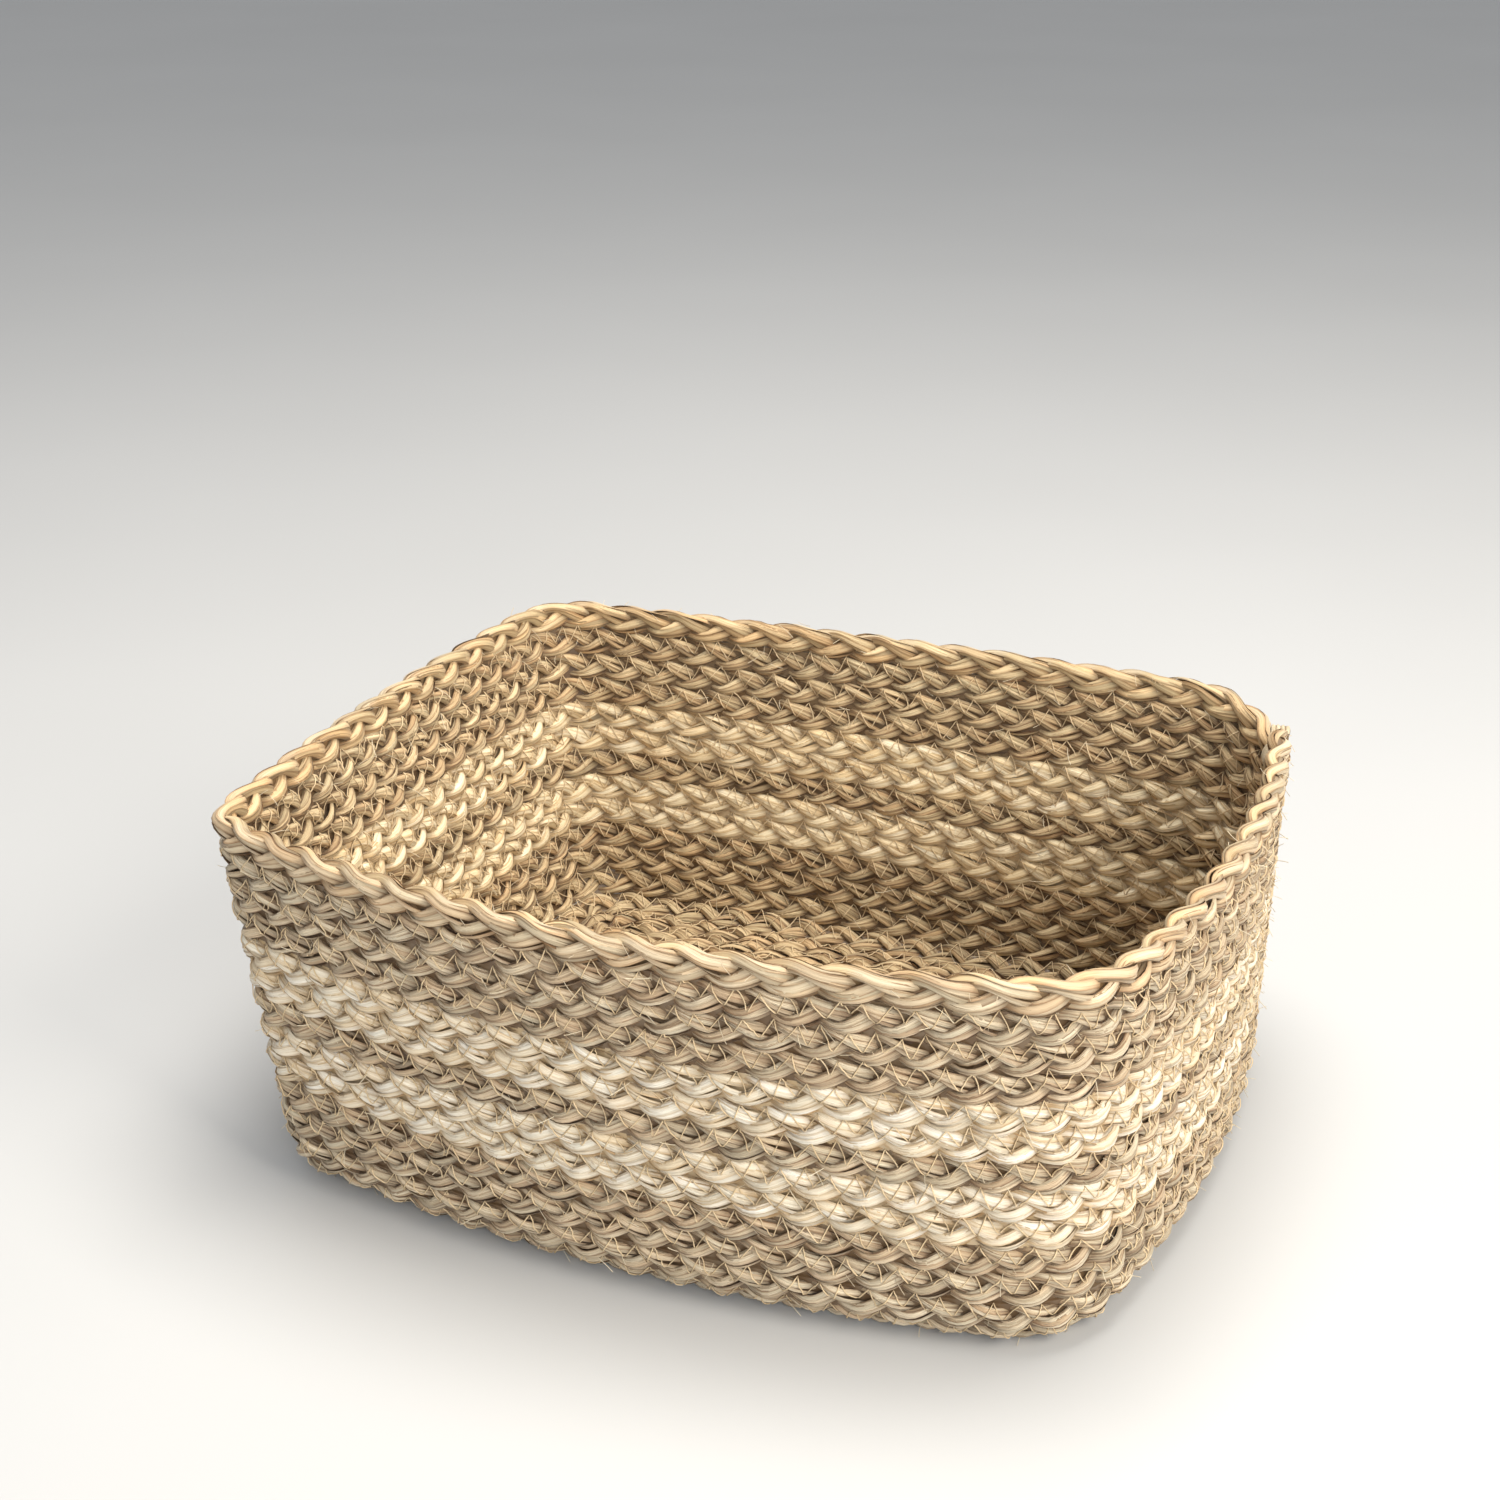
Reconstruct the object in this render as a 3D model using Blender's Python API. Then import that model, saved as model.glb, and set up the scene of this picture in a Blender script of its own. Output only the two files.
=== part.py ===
"""Seagrass storage basket: one flat braid, coiled on edge and sewn turn to turn.

The braid starts as a short strip in the middle of the base, is wound outwards as a flat
spiral, bends up through the foot and then climbs the wall one turn at a time. Each turn is
level, and rises to the next one round the back right corner. Two sewing threads, one on each
face, lie in the grooves between the turns. Lengths are metres, +Z is up, and the origin is
under the middle of the rim's outline, on the surface that the basket stands on.
"""

from math import cos, pi, radians, sin

import bpy
import numpy as np

MM = 0.001

# The braid, and how the sheet that it makes runs from the base to the rim.
BRAID_THICKNESS = 8.0 * MM
PITCH = 11.65 * MM  # from one turn to the next
FOOT_BEND = 15.0 * MM  # radius of the sheet's middle where base and wall meet
BEND_LEVEL = 0.26  # the turn number at the middle of that bend
RIM_LEVEL = 12  # turn 0 lies in the bend and turn 12 is the rim
INNERMOST_LEVEL = -11  # the base's innermost turn, round the starting strip
WALL_TOP = BRAID_THICKNESS / 2 + FOOT_BEND + (RIM_LEVEL + 0.5 - BEND_LEVEL) * PITCH
WALL_TOP -= FOOT_BEND * pi / 4

# The outline seen from above. Its four sides are flat arcs and its four corners are fillets.
# Sides run back, left, front, right. Corners run back right, back left, front left, front right.
SIDE_FACES = (90.0, 180.0, 270.0, 0.0)  # degrees
SIDE_TURNED = (1.8, 0.0, -0.8, -1.2)  # degrees off square
SIDE_REACH = np.array((185.0, 160.0, 185.0, 160.0)) * MM  # half the run that a bow spans
RIM_SIDES = np.array((161.5, 184.0, 164.0, 192.5)) * MM
RIM_BOWS = np.array((8.0, 9.0, 37.0, 24.0)) * MM
RIM_CORNERS = np.array((50.0, 30.0, 26.0, 50.0)) * MM
FOOT_SIDES = np.array((147.5, 155.5, 149.5, 187.5)) * MM
FOOT_BOWS = np.array((4.0, 7.0, 26.0, 24.0)) * MM
FOOT_CORNERS = np.array((54.0, 30.0, 22.0, 48.0)) * MM
TIGHTEST_CORNER = 4.5 * MM
ARCS = 8  # a turn is a corner, a side, a corner, a side and so on

# The braid's six-sided section, as (part of the pitch, part of the half thickness).
EDGE = 0.487
FLAT = 0.34
BRAID_SECTION = ((EDGE, 0), (FLAT, 1), (-FLAT, 1), (-EDGE, 0), (-FLAT, -1), (FLAT, -1))

# A sewing thread's three-sided section in its groove, as (pitch, half thickness) again.
THREAD_SECTION = ((0.045, 0.92), (-0.045, 0.92), (0.0, 0.68))

STEPS = (3, 3, 2, 3, 2, 4, 3, 3)  # facets in each arc of a turn
START_GAP = 0.006  # part of the first corner left open between two turns' ends
STRIP_REACH = 0.16  # part of the innermost back side given to the strip's fold
STRIP_STEPS = 2
FOLD_STEPS = 4
FOLD_SPREAD = 0.9  # how much wider the braid is splayed by the end of the fold

NATURAL = ((0.42, 0.32, 0.19), 0.75)  # base colour, roughness
PALE = ((0.78, 0.68, 0.48), 0.70)
THREAD = ((0.55, 0.38, 0.18), 0.60)
PALE_LEVELS = (4, 5, 7, 8)


def clear_scene():
    for leftover in list(bpy.data.objects):
        bpy.data.objects.remove(leftover, do_unlink=True)


def material(name, finish):
    colour, roughness = finish
    made = bpy.data.materials.new(name)
    made.use_nodes = True
    shader = made.node_tree.nodes["Principled BSDF"]
    shader.inputs["Base Color"].default_value = (*colour, 1.0)
    shader.inputs["Roughness"].default_value = roughness
    shader.inputs["Metallic"].default_value = 0.0
    return made


def facing(angle):
    return np.array((cos(angle), sin(angle)))


def angle_of(vector):
    return np.arctan2(vector[1], vector[0])


def outline(rise, inset):
    """The eight arcs of a turn as (centre, radius, first angle, last angle).

    rise runs from 0 at the foot to 1 at the rim, and inset is how far inside the wall it lies.
    """
    sides = FOOT_SIDES + (RIM_SIDES - FOOT_SIDES) * rise
    bows = FOOT_BOWS + (RIM_BOWS - FOOT_BOWS) * rise
    corners = FOOT_CORNERS + (RIM_CORNERS - FOOT_CORNERS) * rise
    swing = (SIDE_REACH**2 + bows**2) / (2 * bows)
    hubs = []
    for face, turned, side, radius in zip(SIDE_FACES, SIDE_TURNED, sides, swing):
        hubs.append(facing(radians(face + turned)) * (side - radius))
    reach = swing - inset

    fillets = []
    for here in range(4):
        before = here - 1
        radius = max(corners[here] - inset, TIGHTEST_CORNER)
        span = hubs[here] - hubs[before]
        width = np.linalg.norm(span)
        along = span / width
        near, far = reach[before] - radius, reach[here] - radius
        foot = (near**2 - far**2 + width**2) / (2 * width)
        height = np.sqrt(near**2 - foot**2)
        across = np.array((-along[1], along[0]))
        if across @ facing(radians(SIDE_FACES[before] + 45)) < 0:
            across = -across
        centre = hubs[before] + along * foot + across * height
        start, end = angle_of(centre - hubs[before]), angle_of(centre - hubs[here])
        fillets.append((centre, radius, start, start + (end - start) % (2 * pi)))

    arcs = []
    for here in range(4):
        start, end = fillets[here][3], fillets[(here + 1) % 4][2]
        arcs.append(fillets[here])
        arcs.append((hubs[here], reach[here], start, start + (end - start + pi) % (2 * pi) - pi))
    return arcs


def profile(level):
    """How the sheet's middle runs: (inset from the wall, height, lean from upright)."""
    lean = pi / 4 + (BEND_LEVEL - level) * PITCH / FOOT_BEND
    if lean <= 0:
        return 0.0, BRAID_THICKNESS / 2 + FOOT_BEND * (1 - lean), 0.0
    if lean >= pi / 2:
        return FOOT_BEND * (1 + lean - pi / 2), BRAID_THICKNESS / 2, pi / 2
    height = BRAID_THICKNESS / 2 + FOOT_BEND * (1 - sin(lean))
    return FOOT_BEND * (1 - cos(lean)), height, lean


def sheet(level, place, depth=0.0):
    """A point of the sewn sheet. place runs from 0 to 8 round a turn, counter-clockwise from
    the back right corner, and depth is measured outwards from the sheet's middle."""
    inset, height, lean = profile(level)
    arc = min(int(place), ARCS - 1)
    centre, radius, start, end = outline(height / WALL_TOP, BRAID_THICKNESS / 2 + inset)[arc]
    out = facing(start + (end - start) * (place - arc))
    plan = centre + out * (radius + depth * cos(lean)) - PLAN_CENTRE
    return np.array((plan[0], plan[1], height - depth * sin(lean)))


def plan_centre():
    """The middle of the rim's outer outline, from the corners of its facets."""
    points = []
    for count, (centre, radius, start, end) in zip(STEPS, outline(1.0, 0.0)):
        for angle in np.linspace(start, end, count + 1):
            points.append(centre + radius * facing(angle))
    return (np.min(points, axis=0) + np.max(points, axis=0)) / 2


PLAN_CENTRE = plan_centre()


def climbing(turn, place):
    """The level of a turn: it rises from the turn below round the first corner."""
    share = min(place, 1.0)
    return turn - 1 + share * share * (3 - 2 * share)


def places(start=0.0, end=float(ARCS)):
    """The places of a turn's facets, so that neighbouring turns have matching ones."""
    steps = []
    for arc, count in enumerate(STEPS):
        steps += [arc + share for share in np.arange(count) / count]
    return [start] + [place for place in steps if start < place < end] + [end]


def rings_along(turn, section, seat=0.0, start=START_GAP, end=float(ARCS)):
    """The section at each facet of a turn. seat is its middle, as a part of the pitch."""
    rings = []
    for place in places(start, end):
        level = climbing(turn, place) + seat
        ring = [sheet(level + w, place, n * BRAID_THICKNESS / 2) for w, n in section]
        rings.append(ring)
    return rings


def solid(name, rings, finish):
    """Joins the rings of points into one closed solid with flat ends."""
    sides = len(rings[0])
    points = [tuple(point) for ring in rings for point in ring]
    faces = []
    for ring in range(len(rings) - 1):
        for side in range(sides):
            low = ring * sides + side
            high = ring * sides + (side + 1) % sides
            faces.append((low, high, high + sides, low + sides))
    last = (len(rings) - 1) * sides
    faces.append(tuple(range(sides - 1, -1, -1)))
    faces.append(tuple(last + side for side in range(sides)))
    mesh = bpy.data.meshes.new(name)
    mesh.from_pydata(points, [], faces)
    mesh.validate()
    mesh.shade_smooth()
    mesh.set_sharp_from_angle(angle=radians(30))
    mesh.materials.append(finish)
    made = bpy.data.objects.new(name, mesh)
    bpy.context.scene.collection.objects.link(made)
    return made


def starting_strip():
    """Rings of the straight strip in the middle of the base and of its fold to the right,
    which ends at the back side of the innermost turn."""
    inner = INNERMOST_LEVEL - 0.5
    rings = []
    for share in np.linspace(0, 1 - STRIP_REACH, STRIP_STEPS + 1):
        back = sheet(inner, 2 - share)
        front = sheet(inner, 5 + share)
        ring = []
        for w, n in BRAID_SECTION:
            point = (back + front) / 2 + (front - back) * w
            point[2] -= n * BRAID_THICKNESS / 2
            ring.append(point)
        rings.append(ring)
    pivot = sheet(inner, 1 + STRIP_REACH)
    for share in np.linspace(0, 1, FOLD_STEPS + 1)[1:-1]:
        spread = 1 + FOLD_SPREAD * share
        along = facing(pi * share) * spread
        ring = []
        for point in rings[STRIP_STEPS]:
            x, y, _ = point - pivot
            turned_x = x * along[0] - y * along[1]
            turned_y = x * along[1] + y * along[0]
            ring.append(np.array((pivot[0] + turned_x, pivot[1] + turned_y, point[2])))
        rings.append(ring)
    return rings


def base_coil(finish):
    rings = starting_strip()
    rings += rings_along(INNERMOST_LEVEL, BRAID_SECTION, start=1 + STRIP_REACH)
    for turn in range(INNERMOST_LEVEL + 1, 0):
        rings += rings_along(turn, BRAID_SECTION, start=0.0)[1:]
    solid("base_coil_braid", rings, finish)


def wall_turns(finishes):
    for turn in range(RIM_LEVEL + 1):
        name = f"wall_braid_{turn:02d}"
        if turn == 0:
            name = "foot_braid"
        if turn == RIM_LEVEL:
            name = "rim_braid"
        finish = finishes["pale" if turn in PALE_LEVELS else "natural"]
        solid(name, rings_along(turn, BRAID_SECTION), finish)


def threads(finish):
    """The needle thread lies in the outer grooves and the bobbin thread in the inner ones."""
    for thread, face in (("needle", 1), ("bobbin", -1)):
        section = [(w * face, n * face) for w, n in THREAD_SECTION]
        rings = rings_along(INNERMOST_LEVEL - 1, section, seat=0.5, start=5.0)
        for turn in range(INNERMOST_LEVEL, -1):
            rings += rings_along(turn, section, seat=0.5, start=0.0)[1:]
        solid(f"base_{thread}_thread", rings, finish)
        for seam in range(RIM_LEVEL + 1):
            rings = rings_along(seam - 1, section, seat=0.5)
            solid(f"seam_{seam:02d}_{thread}_thread", rings, finish)


def build():
    clear_scene()
    finishes = {"natural": material("natural_braid", NATURAL)}
    finishes["pale"] = material("pale_braid", PALE)
    base_coil(finishes["natural"])
    wall_turns(finishes)
    threads(material("thread", THREAD))


build()
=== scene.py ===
"""The looks of the seagrass basket: plaited leaf, zigzag stitching, loose fibres, light and camera."""

from math import asin, cos, pi, radians, sin

import bpy
import numpy as np
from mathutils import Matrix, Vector


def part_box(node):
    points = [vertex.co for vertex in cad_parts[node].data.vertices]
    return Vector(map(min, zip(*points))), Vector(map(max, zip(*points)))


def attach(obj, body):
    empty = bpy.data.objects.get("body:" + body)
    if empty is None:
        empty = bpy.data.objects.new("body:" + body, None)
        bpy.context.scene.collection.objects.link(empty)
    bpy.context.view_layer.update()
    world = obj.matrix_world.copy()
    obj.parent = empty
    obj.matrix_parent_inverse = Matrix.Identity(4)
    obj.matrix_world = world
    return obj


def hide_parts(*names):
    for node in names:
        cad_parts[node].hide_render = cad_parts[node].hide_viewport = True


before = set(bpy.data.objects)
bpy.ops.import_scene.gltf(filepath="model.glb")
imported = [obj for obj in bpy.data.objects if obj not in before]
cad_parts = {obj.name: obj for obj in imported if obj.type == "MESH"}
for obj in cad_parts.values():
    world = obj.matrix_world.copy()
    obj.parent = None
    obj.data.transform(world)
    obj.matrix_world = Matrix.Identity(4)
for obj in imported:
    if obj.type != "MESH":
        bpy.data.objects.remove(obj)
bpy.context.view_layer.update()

MM = 0.001

# How the sewn sheet runs, in the same driving sizes as the frame's solids.
BRAID_THICKNESS = 8.0 * MM
PITCH = 11.65 * MM  # from one turn to the next
FOOT_BEND = 15.0 * MM  # radius of the sheet's middle where base and wall meet
BEND_LEVEL = 0.26  # the turn number at the middle of that bend
RIM_LEVEL = 12  # turn 0 lies in the bend and turn 12 is the rim
INNERMOST_LEVEL = -11  # the base's innermost turn, round the starting strip
WALL_TOP = BRAID_THICKNESS / 2 + FOOT_BEND + (RIM_LEVEL + 0.5 - BEND_LEVEL) * PITCH
WALL_TOP -= FOOT_BEND * pi / 4

# The outline seen from above. Its four sides are flat arcs and its four corners are fillets.
# Sides run back, left, front, right. Corners run back right, back left, front left, front right.
SIDE_FACES = (90.0, 180.0, 270.0, 0.0)  # degrees
SIDE_TURNED = (1.8, 0.0, -0.8, -1.2)  # degrees off square
SIDE_REACH = np.array((185.0, 160.0, 185.0, 160.0)) * MM  # half the run that a bow spans
RIM_SIDES = np.array((161.5, 184.0, 164.0, 192.5)) * MM
RIM_BOWS = np.array((8.0, 9.0, 37.0, 24.0)) * MM
RIM_CORNERS = np.array((50.0, 30.0, 26.0, 50.0)) * MM
FOOT_SIDES = np.array((147.5, 155.5, 149.5, 187.5)) * MM
FOOT_BOWS = np.array((4.0, 7.0, 26.0, 24.0)) * MM
FOOT_CORNERS = np.array((54.0, 30.0, 22.0, 48.0)) * MM
TIGHTEST_CORNER = 4.5 * MM
ARCS = 8  # a turn is a corner, a side, a corner, a side and so on
STEPS_PER_ARC = 36
STRIP_REACH = 0.16  # part of the innermost back side given to the strip's fold
STRIP_TAIL = 0.11  # part of that side by which the strip starts early
FOLD_SPREAD = 0.9  # how much wider the braid is splayed by the end of the fold
BASE_SPLIT = 9  # parts in the base's inner piece: its starting strip and eight turns
PALE_LEVELS = (4, 5, 7, 8)

# The plait. Widths are parts of the braid's half width, and depths of its half thickness.
STRANDS = 3
LEAF_THICKNESS = 0.4 * MM
STRAND_REACH = 1.03  # how far out a strand's edge swings
STRAND_DEPTH = 0.36  # half a strand's thickness where it crosses the middle
SHARPNESS = 0.8  # 1 turns the strands back at the edges in a sharp corner
CORE_THICKNESS = 1.2 * MM
NATURAL_PLAIT = {
    "Step": 2.5 * MM,  # between two points along a leaf
    "Leaves": 9,  # in each strand
    "Length": 52.0 * MM,  # in which a strand comes back to where it was
    "Width": 1.25 * MM,  # of half a leaf
    "Strand": 0.59,  # half a strand's width at the middle of the braid
    "Narrow": 0.33,  # how much of that it loses at the braid's edge
    "Fold": 0.12,  # how much thicker it gets there
    "Weave": 0.59,  # how far it passes over and under the others
    "Pinch": 0.06,  # how much flatter its upper edge is
    "Core": 1.06,  # the core's width, as a part of the pitch
    "Open": 0.0,  # 1 where nothing shades the upper edge
    "Crumple": 0.08,  # how wavy the leaves are
}
PALE_PLAIT = dict(NATURAL_PLAIT, Leaves=7, Width=1.75 * MM, Strand=0.64, Crumple=0.17)
RIM_PLAIT = dict(PALE_PLAIT, Length=60.0 * MM, Narrow=0.32, Fold=0.24, Weave=0.62, Pinch=0.0)
RIM_PLAIT.update(Core=0.75, Open=1.0, Crumple=0.08)
BASE_PLAIT = dict(NATURAL_PLAIT, Step=3.0 * MM, Leaves=5, Width=1.9 * MM, Strand=0.6)
BASE_PLAIT.update(Fold=0.14, Weave=0.56, Pinch=0.1)
RIM_TUCK = 6.0 * MM  # the stretch at the rim's end in which the braid draws in

# The sewing.
STITCH_LENGTH = 4.35 * MM  # one leg of the zigzag, along the seam
STITCH_REACH = 0.32  # half the zigzag's height, as a part of the pitch
STITCH_DROP = 0.23  # how far its middle lies under the seam
STITCH_CUTS = 7  # points added to each leg, so that it can follow the leaves
STITCH_HOLE = 0.8 * MM  # how deep the thread sinks where it turns
THREAD_RADIUS = 0.28 * MM
FEELER = 9.0 * MM  # where the search for the leaves starts, out from the braid's middle
FEELER_LENGTH = 14.0 * MM
FEELER_MISS = 6.5 * MM  # what it is taken to find between two braids

# Loose ends.
FIBRES = 1700
FIBRE_RADIUS = 0.13 * MM
END_LEAF_WIDTH = 1.5 * MM  # of half a leaf
END_LEAF_THICKNESS = 0.9 * MM
BINDING_TURNS = 5  # round the start of the rim turn
END_LOOPS = (-0.75, -0.25, 0.25, 0.75)  # where each loop lies in the rim's half thickness

# The camera: where it stands round the basket, and what it looks at.
CAMERA_AZIMUTH = 23.1
CAMERA_HEIGHT_ANGLE = 22.2
CAMERA_DISTANCE = 1.037
CAMERA_AIM = (-0.0242, 0.0284, 0.1425)
CAMERA_LENS = 61.2


# ---------------------------------------------------------------- node trees


class Wire:
    """A node's socket that can be used in sums with other wires and numbers."""

    def __init__(self, nodes, socket):
        self.nodes = nodes
        self.socket = socket

    def also(self, name):
        """Another output of the same node."""
        return self.nodes.outlet(self.socket.node, name)

    def is_vector(self):
        return self.socket.type in ("VECTOR", "RGBA")

    def __add__(self, other):
        return self.nodes.sum("ADD", self, other)

    def __radd__(self, other):
        return self.nodes.sum("ADD", other, self)

    def __sub__(self, other):
        return self.nodes.sum("SUBTRACT", self, other)

    def __rsub__(self, other):
        return self.nodes.sum("SUBTRACT", other, self)

    def __mul__(self, other):
        return self.nodes.sum("MULTIPLY", self, other)

    def __rmul__(self, other):
        return self.nodes.sum("MULTIPLY", other, self)

    def __truediv__(self, other):
        return self.nodes.sum("DIVIDE", self, other)

    def __rtruediv__(self, other):
        return self.nodes.sum("DIVIDE", other, self)

    def __pow__(self, other):
        return self.nodes.sum("POWER", self, other)

    def __neg__(self):
        return self.nodes.sum("MULTIPLY", self, -1.0)


class Nodes:
    """Adds nodes to one tree, which may be a geometry tree or a material's."""

    def __init__(self, tree):
        self.tree = tree

    def add(self, kind, settings=None, inputs=None, outlet=None):
        """One node: its type, its settings, then its sockets by name or number."""
        node = self.tree.nodes.new(kind)
        for name, value in (settings or {}).items():
            if name == "stops":
                self.set_stops(node, value)
            else:
                setattr(node, name, value)
        for name, value in (inputs or {}).items():
            self.join(self.inlet(node, name), value)
        return self.outlet(node, outlet)

    def set_stops(self, node, stops):
        elements = node.color_ramp.elements
        while len(elements) < len(stops):
            elements.new(0.5)
        for element, (position, colour) in zip(elements, stops):
            element.position = position
            element.color = (*colour, 1.0)

    def inlet(self, node, name):
        if isinstance(name, int):
            return node.inputs[name]
        return next(s for s in node.inputs if s.name == name and s.enabled)

    def outlet(self, node, name=None):
        found = [s for s in node.outputs if s.enabled and name in (None, s.name)]
        return Wire(self, found[0]) if found else None

    def join(self, socket, value):
        if isinstance(value, (list, tuple)) and value and isinstance(value[0], Wire):
            for one in reversed(value):
                self.join(socket, one)
        elif isinstance(value, Wire):
            self.tree.links.new(value.socket, socket)
        elif value is not None:
            socket.default_value = value

    def sum(self, operation, first, second):
        vectors = [isinstance(v, Wire) and v.is_vector() for v in (first, second)]
        if not any(vectors):
            return self.add("ShaderNodeMath", {"operation": operation}, {0: first, 1: second})
        if operation == "MULTIPLY" and not all(vectors):
            vector, factor = (first, second) if vectors[0] else (second, first)
            settings = {"operation": "SCALE"}
            return self.add("ShaderNodeVectorMath", settings, {0: vector, "Scale": factor})
        return self.add("ShaderNodeVectorMath", {"operation": operation}, {0: first, 1: second})

    def maths(self, operation, *values):
        inputs = dict(enumerate(values))
        return self.add("ShaderNodeMath", {"operation": operation}, inputs)

    def vectors(self, operation, *values, outlet=None):
        inputs = dict(enumerate(values))
        return self.add("ShaderNodeVectorMath", {"operation": operation}, inputs, outlet)

    def sine(self, angle):
        return self.maths("SINE", angle)

    def cosine(self, angle):
        return self.maths("COSINE", angle)

    def noise(self, place, size, detail=0.0, roughness=0.5):
        """Smooth noise from about -1 to 1."""
        inputs = {"Vector": place, "Scale": 1.0 / size, "Detail": detail, "Roughness": roughness}
        return self.add("ShaderNodeTexNoise", {}, inputs) * 2.0 - 1.0

    def point(self, x=0.0, y=0.0, z=0.0):
        return self.add("ShaderNodeCombineXYZ", {}, {0: x, 1: y, 2: z})


class GeometryTree(Nodes):
    """A geometry tree with named inputs."""

    SOCKETS = {
        "float": "NodeSocketFloat",
        "whole": "NodeSocketInt",
        "object": "NodeSocketObject",
        "material": "NodeSocketMaterial",
    }

    def __init__(self, name, **inputs):
        super().__init__(bpy.data.node_groups.new(name, "GeometryNodeTree"))
        face = self.tree.interface
        face.new_socket("Geometry", in_out="INPUT", socket_type="NodeSocketGeometry")
        for label, kind in inputs.items():
            face.new_socket(label, in_out="INPUT", socket_type=self.SOCKETS[kind])
        face.new_socket("Geometry", in_out="OUTPUT", socket_type="NodeSocketGeometry")
        self.start = self.tree.nodes.new("NodeGroupInput")

    def given(self, name):
        return self.outlet(self.start, name)

    def attribute(self, name, kind="FLOAT"):
        settings = {"data_type": kind}
        return self.add("GeometryNodeInputNamedAttribute", settings, {"Name": name}, "Attribute")

    def store(self, geometry, name, value, kind="FLOAT"):
        settings = {"data_type": kind, "domain": "POINT"}
        inputs = {"Geometry": geometry, "Name": name, "Value": value}
        return self.add("GeometryNodeStoreNamedAttribute", settings, inputs)

    def chance(self, low, high, each, seed):
        settings = {"data_type": "FLOAT"}
        inputs = {"Min": low, "Max": high, "ID": each, "Seed": seed}
        return self.add("FunctionNodeRandomValue", settings, inputs)

    def triangle(self, radius):
        inputs = {"Resolution": 3, "Radius": radius}
        return self.add("GeometryNodeCurvePrimitiveCircle", {"mode": "RADIUS"}, inputs)

    def facing_out(self, curve, normal):
        """The curve with its own normals, which turn the section that is swept along it."""
        inputs = {"Curve": curve, "Normal": normal}
        return self.add("GeometryNodeSetCurveNormal", {"mode": "FREE"}, inputs)

    def swept(self, curve, section):
        inputs = {"Curve": curve, "Profile Curve": section, "Fill Caps": True}
        return self.add("GeometryNodeCurveToMesh", {}, inputs)

    def smooth(self, mesh, shade=True):
        inputs = {"Geometry": mesh, "Shade Smooth": shade}
        return self.add("GeometryNodeSetShadeSmooth", {"domain": "FACE"}, inputs)

    def finish(self, geometry):
        """Ends the tree with real geometry in its material, none of it under the floor."""
        real = self.add("GeometryNodeRealizeInstances", {}, {"Geometry": geometry})
        place = self.add("GeometryNodeInputPosition")
        parts = self.add("ShaderNodeSeparateXYZ", {}, {0: place})
        height = self.maths("MAXIMUM", parts.also("Z"), 0.05 * MM)
        raised = self.point(parts.also("X"), parts.also("Y"), height)
        real = self.add("GeometryNodeSetPosition", {}, {"Geometry": real, "Position": raised})
        inputs = {"Geometry": real, "Material": self.given("Finish")}
        done = self.add("GeometryNodeSetMaterial", {}, inputs)
        end = self.tree.nodes.new("NodeGroupOutput")
        self.join(end.inputs["Geometry"], done)
        return self.tree


def grown(name, start, tree, **inputs):
    """Runs a geometry tree on a mesh and returns the result as a plain mesh object."""
    holder = bpy.data.objects.new(name + "_guide", start)
    bpy.context.scene.collection.objects.link(holder)
    modifier = holder.modifiers.new("Grow", "NODES")
    modifier.node_group = tree
    for item in tree.interface.items_tree:
        if item.in_out == "INPUT" and item.name in inputs:
            modifier[item.identifier] = inputs[item.name]
    graph = bpy.context.evaluated_depsgraph_get()
    mesh = bpy.data.meshes.new_from_object(holder.evaluated_get(graph), depsgraph=graph)
    mesh.name = name
    bpy.data.objects.remove(holder)
    piece = bpy.data.objects.new(name, mesh)
    bpy.context.scene.collection.objects.link(piece)
    return piece


# ---------------------------------------------------------------- the sewn sheet


def facing(angle):
    return np.array((cos(angle), sin(angle)))


def angle_of(vector):
    return np.arctan2(vector[1], vector[0])


def outline(rise, inset):
    """The eight arcs of a turn as (centre, radius, first angle, last angle)."""
    sides = FOOT_SIDES + (RIM_SIDES - FOOT_SIDES) * rise
    bows = FOOT_BOWS + (RIM_BOWS - FOOT_BOWS) * rise
    corners = FOOT_CORNERS + (RIM_CORNERS - FOOT_CORNERS) * rise
    swing = (SIDE_REACH**2 + bows**2) / (2 * bows)
    hubs = []
    for face, turned, side, radius in zip(SIDE_FACES, SIDE_TURNED, sides, swing):
        hubs.append(facing(radians(face + turned)) * (side - radius))
    reach = swing - inset
    fillets = []
    for here in range(4):
        before = here - 1
        radius = max(corners[here] - inset, TIGHTEST_CORNER)
        span = hubs[here] - hubs[before]
        width = np.linalg.norm(span)
        along = span / width
        near, far = reach[before] - radius, reach[here] - radius
        foot = (near**2 - far**2 + width**2) / (2 * width)
        height = np.sqrt(near**2 - foot**2)
        across = np.array((-along[1], along[0]))
        if across @ facing(radians(SIDE_FACES[before] + 45)) < 0:
            across = -across
        centre = hubs[before] + along * foot + across * height
        start, end = angle_of(centre - hubs[before]), angle_of(centre - hubs[here])
        fillets.append((centre, radius, start, start + (end - start) % (2 * pi)))
    arcs = []
    for here in range(4):
        start, end = fillets[here][3], fillets[(here + 1) % 4][2]
        arcs.append(fillets[here])
        arcs.append((hubs[here], reach[here], start, start + (end - start + pi) % (2 * pi) - pi))
    return arcs


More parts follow.
